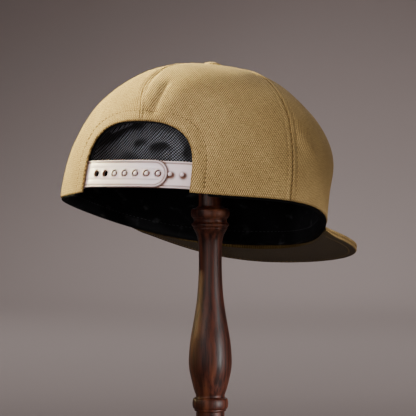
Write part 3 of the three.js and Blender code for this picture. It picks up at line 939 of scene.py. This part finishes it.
def make_brim():
    """The brim, laid out in plan from its free edge back to the crown, and its stitch rows."""
    edge, inward, share = brim_edge(BRIM_COLUMNS)
    at_edge = running_length(edge)
    foot = -crown_point(mix(-BRIM_SIDE, BRIM_SIDE, share) * RAD, 0.0, 0.4)[:, :2]
    reach = np.linalg.norm(foot - edge, axis=1)
    near = BRIM_STEPS[:, None] * np.minimum(1.0, reach / 14.0)
    at = join(near, near[-1] + (reach - near[-1]) * np.linspace(0, 1, 74)[1:, None])
    plan = edge + (foot - edge) * (at / np.maximum(reach, 1e-6))[..., None]
    fine = brim_edge(FINE_COLUMNS)[0]
    away = np.array([np.hypot(*(row[:, None] - fine).transpose(2, 0, 1)).min(1) for row in plan])
    away[0] = 0
    top, drop = brim_top(plan), hem_inset(away, BRIM_ROLL)
    dips = sum(-0.16 * bell((away - row) / 0.6) for row in BRIM_ROWS)
    over = np.dstack([plan, top - drop + dips])
    thin = mix(0.72, 1.0, smooth(0, 20, np.minimum(at_edge, at_edge[::-1]) + away))
    seam_dip = 0.12 * bell((away - BRIM_ROWS[0]) / 0.5)
    under = np.dstack([plan, top - thin * BRIM.thick + drop * thin + seam_dip])
    turn = np.array([20, 40, 60])[:, None] * RAD
    spot = edge + inward * (BRIM_ROLL * (1 - np.cos(turn)))[..., None]
    level = top[0] - BRIM_ROLL * (1 + np.sin(turn)) * thin[0]
    low_level = 2 * top[0] - BRIM.thick * thin[0] - level
    loop = join(over[::-1], np.dstack([spot, level]), np.dstack([spot, low_level])[::-1], under)
    rows, columns = loop.shape[:2]
    j, last, row = np.arange(columns - 1), (rows - 1) * columns, np.arange(rows)
    # painted shade: a dark line in the groove between the edge's two rolls, and darker along the rolled
    # edge
    spread = np.abs(row - (len(over) + 2.5))
    wear_and_painted_light = 0.9 * bell(spread / 0.9) + 0.3 * bell((spread - 2) / 3.5)
    # painted shade: the brim's underside and its root against the crown take the dark shaded colour
    below = np.maximum(smooth(len(over) + 7, len(over) + 13, row), 1 - smooth(0, 2, row))
    cloth = np.dstack([loop[..., :2], np.repeat(below, columns).reshape(rows, columns)])
    make_mesh(
        "brim_cloth", (loop * TO_CAP).reshape(-1, 3),
        join(grid_faces(rows, columns), stack(last + j, last + j + 1, j + 1, j)), twill,
        "brim", cloth=cloth.reshape(-1, 3), edge=np.repeat(wear_and_painted_light, columns))
    runs = []
    for surface, up, lines in ((over, 1.0, BRIM_ROWS), (under, -1.0, BRIM_ROWS[:1])):
        for row in lines:
            crossed = (away[:-1] < row) & (away[1:] >= row)
            j = np.nonzero(crossed.any(0) & (away.max(0) > row + 0.6))[0]
            i = crossed[:, j].argmax(0)
            t = (row - away[i, j]) / (away[i + 1, j] - away[i, j])
            run = mix(surface[i, j], surface[i + 1, j], t[:, None]) * TO_CAP
            if len(run) > 12:
                runs.append((run, np.broadcast_to([0.0, 0.0, up], run.shape)))
    stitch_mesh("brim_topstitch", runs, twill_thread)


make_brim()


# ---------------------------------------------------------------- the button
def turned_mesh(profile, columns, pleat=lambda turn, up: 1.0):
    """Points and faces of a profile of radius and height turned about +Z. Its two end points
    come last."""
    turn, (radius, up) = turns(columns), profile[1:-1].T[..., None]
    radius = radius * pleat(turn, up)
    points = stack(radius * np.cos(turn), radius * np.sin(turn), up)
    rows, low = len(points), points[..., 0].size
    ends = [(j, (j + 1) % columns) for j in range(columns)]
    faces = grid_faces(rows, columns, wrap=True).tolist()
    faces += [[low, b, a] for a, b in ends]
    faces += [[low + 1, low - columns + a, low - columns + b] for a, b in ends]
    return join(points.reshape(-1, 3), [[0, 0, profile[0, 1]], [0, 0, profile[-1, 1]]]), faces


def button_pleat(turn, up):
    return 1 - 0.02 * np.clip(1 - up / 2.4, 0, 1) * bell(np.sin(turn * 5 + 0.4) / 0.35)


BUTTON = np.array([
    (0, -0.9), (3.0, -0.9), (6.6, -0.9), (7.3, -0.6), (7.6, 0.1), (7.55, 0.9), (7.2, 1.9), (6.5, 2.95),
    (5.4, 3.8), (3.9, 4.4), (2.0, 4.72), (0.7, 4.8), (0, 4.8),
])
points, faces = turned_mesh(BUTTON, 60, button_pleat)
make_mesh(
    "button_cloth", points + [-TOP_SHIFT.right, -TOP_SHIFT.forward, BUTTON_FOOT], faces, twill,
    "button", cloth=points[:, :2], edge=np.zeros(len(points)))


# ---------------------------------------------------------------- the snap strap
STRAP_HALF = STRAP.width / 2
STRAP_CELL, STRAP_ROWS = 0.75, 25
# painted shade on the strap's inner face
UNDERSIDE_SHADE = 0.8
EDGE_RINGS = (0.0, 0.08, 0.2, 0.38, 0.6, 0.85, 1.05, 1.25, 1.5)
HOLE_RINGS = (0.08, 0.2, 0.38, 0.62)
HOLE_SIDES = 32
GROOVE_INSET = 1.3
PANEL_HALF = 3.35


def strap_point(along, up, depth):
    tucked = STRAP_ARC.tuck * np.maximum(np.abs(along) - STRAP_ARC.tuck_from, 0) ** 2
    radius = STRAP_ARC.radius - depth - tucked - STRAP.lean * up
    turn = along / STRAP_ARC.radius
    rise = np.where(along < 0, STRAP_ARC.left_rise, STRAP_ARC.right_rise) * np.square(along)
    centre = STRAP_ARC.back - STRAP_ARC.radius
    return stack(-radius * np.sin(turn), centre + radius * np.cos(turn), STRAP.middle + rise + up)


def snap_places(first, count):
    return SNAP.first + SNAP.pitch * (first + np.arange(count))


def rounded_edge(flat):
    """Distance from the outer strap's edge: it ends in a half round."""
    return STRAP_HALF - np.hypot(np.maximum(flat[:, 0] - (STRAP_REACH.free - STRAP_HALF), 0), flat[:, 1])


def square_edge(flat):
    return STRAP_HALF - np.abs(flat[:, 1])


def hole_distance(flat, holes):
    away = [np.hypot(flat[:, 0] - place, flat[:, 1]) - SNAP.hole for place in holes]
    return np.min([np.full(len(flat), 9.0)] + away, axis=0)


def strap_piece(start, stop, depth, edge_distance, holes, paint_shade):
    """Points, faces and painted shade of one plastic strap, triangulated flat round its holes, then bent.
    """
    rounded = edge_distance is rounded_edge
    rows = np.linspace(-STRAP_HALF, STRAP_HALF, STRAP_ROWS)
    cells = stack(*np.meshgrid(np.arange(start, stop + 0.01, STRAP_CELL), rows)).reshape(-1, 2)
    spots = [cells[edge_distance(cells) > 1.6]]
    straight = np.arange(start, stop - STRAP_HALF if rounded else stop, STRAP_CELL)
    arc = np.linspace(-math.pi / 2, math.pi / 2, 49)
    for inset in EDGE_RINGS:
        level = STRAP_HALF - inset
        bend = np.array([[stop, -level], [stop, level]])
        if rounded:
            bend = stack(stop - STRAP_HALF + level * np.cos(arc), level * np.sin(arc))
        spots.append(join(stack(straight, -level), bend, stack(straight[::-1], level)))
    loops, arc = [spots.pop(1)], turns(HOLE_SIDES)
    circle = stack(np.cos(arc), np.sin(arc))
    for place in holes:
        centre = np.array([place, 0.0])
        loops.append(centre + circle * SNAP.hole)
        spots = [s[np.hypot(*(s - centre).T) > SNAP.hole + 0.75] for s in spots]
        spots += [centre + circle * (SNAP.hole + more) for more in HOLE_RINGS]
    edges, first = [], 0
    for loop in loops:
        count = len(loop)
        edges += [(first + i, first + (i + 1) % count) for i in range(count)]
        first += count
    found = delaunay_2d_cdt([Vector(p) for p in join(*loops, *spots).tolist()], edges, [], 1, 1e-5)
    flat, faces = np.array([tuple(v) for v in found[0]]), np.array(found[2])
    middle = flat[faces].mean(1)
    in_holes = hole_distance(middle, holes) <= SNAP.hole * (math.cos(math.pi / HOLE_SIDES) - 1)
    used, faces = np.unique(faces[(edge_distance(middle) > 0) & ~in_holes], return_inverse=True)
    flat, faces = flat[used], faces.reshape(-1, 3)
    away, from_hole = edge_distance(flat), hole_distance(flat, holes)
    near, near_hole = np.maximum(away, 0), np.maximum(from_hole, 0)
    round_off = np.maximum(hem_inset(near, 0.38), hem_inset(near_hole, 0.3))
    outer = strap_point(*flat.T, depth - strap_relief(flat, away, from_hole) + round_off)
    inner = strap_point(*flat.T, depth + STRAP.thick - hem_inset(near, 0.3) * 0.8)
    directed = join(faces[:, [0, 1]], faces[:, [1, 2]], faces[:, [2, 0]]).tolist()
    seen = {tuple(e) for e in directed}
    a, b = np.array([e for e in directed if (e[1], e[0]) not in seen]).T
    count = len(flat)
    every = join(faces, faces[:, ::-1] + count).tolist() + stack(b, a, a + count, b + count).tolist()
    return join(outer, inner), every, join(paint_shade(flat, near, near_hole), np.full(count, UNDERSIDE_SHADE))


def panel_line(flat):
    """Distance from the fine line moulded round the row of snaps."""
    last = SNAP.first + SNAP.pitch * (SNAP.holes - 1)
    return np.hypot(np.maximum(flat[:, 0] - last, 0), flat[:, 1]) - PANEL_HALF


def strap_relief(flat, edge_away, from_hole):
    border = 0.42 * (1 - smooth(0.8, 1.1, edge_away)) - 0.16 * bell((edge_away - GROOVE_INSET) / 0.3)
    line = -0.34 * bell(panel_line(flat) / 0.3)
    return border + line + 0.3 * bell((from_hole - 0.4) / 0.32)


def outer_painted_shade(flat, edge_away, from_hole):
    """Painted shade in brown in the outer strap's holes and grooves and along its edge."""
    x, y = flat.T
    places = snap_places(0, SNAP.holes)
    nearest = places[np.argmin(np.abs(x[:, None] - places), 1)]
    # painted shade round each hole, heavier on the side away from the light
    rim = (1 - 0.65 * smooth(-0.8, 0.8, x - nearest - 0.5 * y)) * bell(from_hole / 0.6)
    grooves = 0.85 * bell((edge_away - GROOVE_INSET) / 0.46)
    grooves += 0.45 * bell(panel_line(flat) / 0.3) * (y < 0)
    return np.clip(grooves + 0.55 * bell(edge_away / 0.45) + rim, 0, 1)


def under_painted_shade(flat, edge_away, _):
    """Painted shadow on the inner strap beside the outer one's rounded end and round the pegs."""
    beyond = -rounded_edge(flat)
    # painted shadow of the outer strap's end, and painted shade along the edge and in its groove
    total = 0.95 * bell(np.maximum(beyond, 0) / 1.0) * (beyond > -1) + 0.45 * bell(edge_away / 0.35)
    total += 0.8 * bell((edge_away - GROOVE_INSET) / 0.46)
    for place in snap_places(SNAP.open, SNAP.holes):
        away = np.hypot(flat[:, 0] - place - 0.5, flat[:, 1] + 0.5)
        total += 0.95 * bell(np.maximum(away - 1.6, 0) / 0.9)
    return np.clip(total, 0, 1)


def plastic_material():
    """Pinkish white moulded plastic: satin, a little see-through, with fine flow marks and painted shade.
    """
    g = Graph(
        "strap_plastic", Roughness=0.38, IOR=1.5, Subsurface_Weight=0.1, Subsurface_Scale=0.001,
        Coat_Weight=0.1, Coat_Roughness=0.3)
    place = g.place()
    cloud, grain = g.noise(*place, scale=120, detail=3), g.noise(*place, scale=2600, detail=2)
    colour = g.blend(cloud, (0.90, 0.72, 0.73), (0.96, 0.80, 0.83))
    # painted shade: brown in grooves and holes, beside the strap's end and round the pegs
    colour = g.blend(g.edge(), colour, (0.16, 0.055, 0.022))
    return g.finish(colour, roughness=grain * 0.18 + 0.3, bump=grain, depth=0.02)


PEG = np.array([
    (0, -0.3), (1.25, -0.3), (1.2, 0.05), (1.02, 0.3), (1.0, 0.6), (1.12, 0.8), (1.32, 1.0), (1.43, 1.3),
    (1.4, 1.65), (1.2, 1.97), (0.85, 2.18), (0.4, 2.29), (0, 2.3),
])


def make_straps():
    """The outer half with its holes, then the inner half with its pegs."""
    plastic = plastic_material()
    points, faces, painted_shade = strap_piece(
        -STRAP_REACH.tucked, STRAP_REACH.free, 0.0, rounded_edge, snap_places(0, SNAP.holes), outer_painted_shade)
    make_mesh("strap_outer", points, faces, plastic, "strap_holes", edge=painted_shade)
    points, faces, painted_shade = strap_piece(
        STRAP_REACH.hidden, STRAP_REACH.tucked, STRAP.layer, square_edge, (), under_painted_shade)
    peg, peg_faces = turned_mesh(PEG, 24)
    x, y, z = peg.T
    # painted shade on each peg: darker at its foot and on the side away from the light
    shaded_side = smooth(-0.7, 0.6, -x - 0.6 * y) * (1 - smooth(1.7, 2.6, z))
    peg_painted_shade = 0.8 * (1 - smooth(0.4, 1.7, z)) + 0.95 * shaded_side
    for place in snap_places(SNAP.open, SNAP.holes):
        c, s = math.cos(place / STRAP_ARC.radius), math.sin(place / STRAP_ARC.radius)
        axes = np.array([[c, s, 0.0], [0.0, 0.0, 1.0], [-s, c, 0.0]])
        faces += [[len(points) + c for c in f[::-1]] for f in peg_faces]
        points = join(points, strap_point(place, 0.0, STRAP.layer) + peg @ axes)
        painted_shade = join(painted_shade, peg_painted_shade)
    make_mesh(
        "strap_under", points, faces, plastic, "strap_pegs", edge=np.clip(painted_shade, 0, 1))


make_straps()


# ---------------------------------------------------------------- the stand
CORNER_CUT = 0.22


def curve_through(*stations):
    """A smooth curve through stations of radius and height."""
    p = np.array(stations, float)
    p = join(2 * p[:1] - p[1:2], p, 2 * p[-1:] - p[-2:-1])
    t = np.linspace(0, 1, 7, endpoint=False)[:, None]
    spans = [
        0.5 * (
            2 * b + (c - a) * t + (2 * a - 5 * b + 4 * c - d) * t ** 2
            + (3 * b - 3 * c + d - a) * t ** 3)
        for a, b, c, d in zip(p, p[1:], p[2:], p[3:])
    ]
    return join(*spans, p[-2:-1])


def bead(low, high, radius, base):
    """A half round between two heights."""
    turn = np.linspace(0, math.pi, 12)
    middle, half = (low + high) / 2, (high - low) / 2
    return stack(base + (radius - base) * np.sin(turn) ** 0.8, middle - half * np.cos(turn))


def soften(profile):
    """Cuts each sharp corner of a profile back a little."""
    out = [profile[0]]
    for before, here, after in zip(profile, profile[1:], profile[2:]):
        one, two = before - here, after - here
        a, b = np.linalg.norm(one), np.linalg.norm(two)
        if a < 1e-9 or b < 1e-9:
            continue
        if (one @ two) / (a * b) > -0.9:
            cut = min(CORNER_CUT, a / 3, b / 3)
            out += [here + one / a * cut, here + (one / a + two / b) * cut * 0.3, here + two / b * cut]
        else:
            out.append(here)
    return np.array(out + [profile[-1]])


def wood_material(name, lying=False):
    """Dark stained hardwood under a worn gloss: long grain, pores and faint turning marks. The
    grain runs up the piece, or across it where the wood lies flat."""
    g = Graph(name, Roughness=0.42, Specular_IOR_Level=0.08 if lying else 0.15)
    x, y, z = g.place()
    if lying:
        x, z = z, x
    bend = g.noise(x * 14, y * 14, z * 5, detail=1) * 0.5
    grain = g.noise(x * 360 + bend * 9, y * 360, z * 9, detail=4, rough=0.6)
    broad = g.noise(x * 75 + bend * 4, y * 75, z * 7 + 4.0, detail=3)
    pores = g.noise(x * 1300, y * 1300, z * 60, detail=2).step(0.60, 0.72)
    rings = g.noise(x * 8, y * 8, z * 1500, detail=1)
    colour = g.blend(grain.step(0.36, 0.68), (0.0065, 0.0016, 0.0010), (0.048, 0.0116, 0.0060))
    colour = g.blend(broad.step(0.50, 0.72) * 0.8, colour, (0.105, 0.032, 0.013))
    colour = g.blend(pores * 0.8, colour, (0.004, 0.002, 0.0015))
    bump = grain * 0.6 + rings * 0.25 - pores
    return g.finish(colour, roughness=grain * 0.25 + 0.34, bump=bump, depth=0.06)


def make_stand():
    """The round base, the turned post and the head inside the cap."""
    upright, lying = wood_material("stand_wood"), wood_material("stand_wood_across", lying=True)
    foot = curve_through(
        (15.5, 20.05), (14.4, 26), (13, 40), (11.3, 60), (10, 80), (8.9, 108), (9.1, 119))
    vase = curve_through(
        (9.2, 129.9), (10.6, 134.0), (12, 139.5), (13.35, 145.9), (13.72, 153.0), (12.7, 165),
        (10.5, 177.7), (8.6, 190.5), (7.6, 203.2), (7.3, 215.9), (7.6, 226.7), (8.6, 231.6),
        (10.4, 235.4))
    post = join(
        [(0, 20.05)], foot, [(9.1, 119.6), (10.2, 119.9), (10.2, 120.9)],
        bead(121.0, 128.1, 11.4, 10.1), [(9.3, 128.6)], vase,
        [(10.9, 236.1), (10.7, 236.7), (11.9, 237.9), (12.0, 239.0), (11.0, 239.7), (10.6, 240.4)],
        [(10.6, 242.0), (11.3, 242.6)], bead(243.0, 248.6, 12.35, 11.2),
        [(9.8, 249.0), (8.6, 249.6), (7.6, 250.6), (7.6, 270.0), (7.6, 301.9), (0, 301.9)])
    quarter = np.linspace(0, math.pi / 2, 9)
    base = join(
        [(0, 0), (76.9, 0), (78, 1.1), (78, 10.6), (76.9, 11.6)],
        stack(71.2 + 5.6 * np.cos(quarter), 12.0 + 8.0 * np.sin(quarter)), [(40, 20.0), (0, 20.0)])
    dome, dome_ball = 33.3 * np.cos(np.linspace(0, 1, 18) * math.pi / 2), 62
    head = join(
        [(0, 302), (9.6, 302), (20, 305.2), (33.2, 311.2), (34, 312.3)],
        stack(dome, 330.9 - dome_ball + np.sqrt(dome_ball ** 2 - dome ** 2)))
    for name, profile, sides, wood in (
        ("base", base, 128, lying), ("post", post, 72, upright), ("head", head, 72, lying),
    ):
        points, faces = turned_mesh(soften(profile), sides)
        make_mesh(
            name + "_turned", points, faces, wood, "stand_" + name,
            to_frame=lambda places: places * MM)


make_stand()

# ---------------------------------------------------------------- camera, stage and light
CAMERA = Sizes(turn=25.75 * RAD, distance=1.481, height=0.2669, pitch=0.69 * RAD, focal=2324.5, pan=-2.3)
FRAME_PIXELS = 416
SENSOR = 36.0
STAGE = Sizes(hub=0.02, floor=3.6, bend=0.9, height=3.2, sides=96)


def look(obj, place, target):
    obj.location = place
    obj.rotation_mode = "QUATERNION"
    obj.rotation_quaternion = (Vector(target) - Vector(place)).to_track_quat("-Z", "Y")


def from_camera(right, up, back):
    """A point beside the cap: to the camera's right, above the floor, and towards the camera."""
    c, s = math.cos(CAMERA.turn), math.sin(CAMERA.turn)
    return (-right * c - back * s, -right * s + back * c, up)


def make_camera():
    data = bpy.data.cameras.new("camera")
    data.sensor_width = SENSOR
    data.lens = CAMERA.focal * SENSOR / FRAME_PIXELS
    data.clip_start, data.clip_end = 0.05, 40.0
    camera = in_scene("camera", data)
    heading, pitch = CAMERA.turn - math.atan(CAMERA.pan / CAMERA.focal), CAMERA.pitch
    place = Vector(from_camera(0.0, CAMERA.height, CAMERA.distance))
    ahead = Vector((math.sin(heading), -math.cos(heading), 0)) * math.cos(pitch)
    look(camera, place, place + ahead - Vector((0, 0, math.sin(pitch))))
    bpy.context.scene.camera = camera


def make_light(name, kind, place, target, power, colour, **settings):
    data = bpy.data.lights.new(name, kind)
    for key, value in dict(energy=power, color=colour, **settings).items():
        setattr(data, key, value)
    look(in_scene(name, data), place, target)


def make_stage():
    """A floor that sweeps up into a wall all round, so every view has the same plain ground."""
    arc, turn = np.linspace(0, math.pi / 2, 14)[1:], turns(STAGE.sides)
    edge = STAGE.floor + STAGE.bend
    radius = join(np.linspace(STAGE.hub, STAGE.floor, 12), STAGE.floor + STAGE.bend * np.sin(arc), [edge])
    up = join(np.zeros(12), STAGE.bend * (1 - np.cos(arc)), [STAGE.height])[:, None]
    points = stack(radius[:, None] * np.cos(turn), radius[:, None] * np.sin(turn), up).reshape(-1, 3)
    faces = grid_faces(len(radius), STAGE.sides, wrap=True).tolist() + [list(range(STAGE.sides))[::-1]]
    mesh = bare_mesh("studio_sweep", points, faces, stage_material())
    mesh.shade_smooth()
    in_scene("studio_sweep", mesh)


make_camera()
make_stage()
CAP_UPPER, CAP_MIDDLE, POST_MIDDLE = (0.0, 0.0, 0.375), (0.0, -0.01, 0.285), (0.0, 0.0, 0.10)
WARM, SOFT = (1.0, 0.935, 0.45), (1.0, 0.98, 0.97)
SPOTS = (
    # name, place and target, watts, colour, cone in degrees, soft edge of the cone and of shadows
    ("key", from_camera(-1.4, 1.0, -0.6), CAP_UPPER, 1140, WARM, 9.6, 0.3, 0.13),
    ("left_fill", from_camera(-1.0, 0.75, 1.1), CAP_MIDDLE, 108, SOFT, 12.5, 0.5, 0.2),
    ("high_fill", from_camera(-0.5, 0.45, 1.5), CAP_MIDDLE, 25, SOFT, 10.5, 0.5, 0.1),
    ("front_fill", from_camera(-0.15, 0.28, 1.6), CAP_MIDDLE, 26, SOFT, 10.5, 0.5, 0.1),
    ("side_light", from_camera(1.3, 0.5, 0.3), CAP_MIDDLE, 17, SOFT, 12.5, 0.5, 0.2),
    ("brim_light", from_camera(0.3, 1.2, -1.6), CAP_MIDDLE, 45, SOFT, 12.5, 0.5, 0.25),
    ("post_light", from_camera(1.2, 0.15, 0.8), POST_MIDDLE, 290, SOFT, 8.2, 0.5, 0.1),
    ("floor_light", from_camera(0.1, 2.8, -0.2), from_camera(0.0, 0.0, -2.6), 100, SOFT, 54, 1.0, 0.3),
    ("bend_light", from_camera(0.2, 2.2, -2.2), from_camera(0.0, 0.0, -3.9), 20, SOFT, 30, 1.0, 0.3),
    ("far_floor", from_camera(-0.1, 2.2, -2.3), from_camera(-0.1, 0.0, -2.6), 13, SOFT, 46, 1.0, 0.3),
    ("wall_light", from_camera(0.5, 2.2, -1.4), from_camera(0.3, 0.1, -4.3), 60, SOFT, 40, 1.0, 0.3),
    ("wall_right", from_camera(0.6, 1.4, -1.9), from_camera(0.35, 0.1, -4.3), 21, SOFT, 34, 1.0, 0.3),
)
for name, place, target, power, colour, cone, edge, soft in SPOTS:
    make_light(
        name, "SPOT", place, target, power, colour,
        spot_size=cone * RAD, spot_blend=edge, shadow_soft_size=soft)
make_light("overhead", "SUN", (0.0, 0.0, 3.0), (0.0, 0.0, 0.0), 0.8, SOFT, angle=50 * RAD)
world = bpy.data.worlds.new("studio")
world.use_nodes = True
ground = world.node_tree.nodes["Background"].inputs
ground["Color"].default_value, ground["Strength"].default_value = (*SOFT, 1.0), 0.03
bpy.context.scene.world = world
